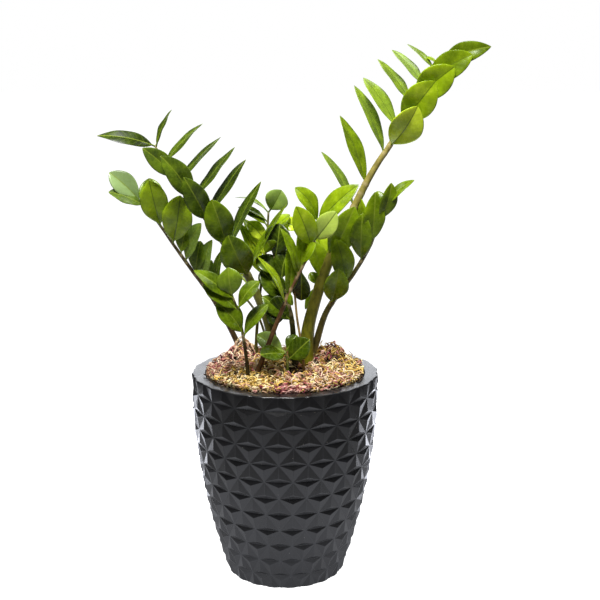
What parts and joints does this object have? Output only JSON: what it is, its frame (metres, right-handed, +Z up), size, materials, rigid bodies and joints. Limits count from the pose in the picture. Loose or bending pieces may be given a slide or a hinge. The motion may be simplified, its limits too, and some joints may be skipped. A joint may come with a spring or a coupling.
{
  "type": "potted zz plant",
  "caption": "Houseplant with arching feathered fronds in a round dark pot with raised triangular facets, filled with soil under a moss mulch.",
  "frame": {"origin": "middle of the pot's flat base, on the floor", "axes": "+Z up along the pot's axis, -Y towards the viewer, +X to the viewer's right"},
  "size_m": [0.5378, 0.2662, 0.7489],
  "materials": {
    "fibre_clay": "matte",
    "potting_soil": "matte",
    "moss_fibre": "matte",
    "young_leaf": "satin",
    "old_leaf": "satin",
    "dried_stalk": "matte"
  },
  "bodies": {
    "root": {"pot": "fibre_clay", "soil": "potting_soil", "moss_mulch": "moss_fibre", "right_tall_frond": "young_leaf", "left_tall_frond": "old_leaf", "left_low_frond": "old_leaf", "front_left_frond": "old_leaf", "front_middle_frond": "young_leaf", "right_low_frond": "old_leaf", "back_frond": "young_leaf", "middle_frond": "old_leaf", "back_right_frond": "young_leaf", "low_front_frond": "young_leaf", "front_dry_stalk": "dried_stalk", "back_dry_stalk": "dried_stalk"}
  },
  "joints": []
}
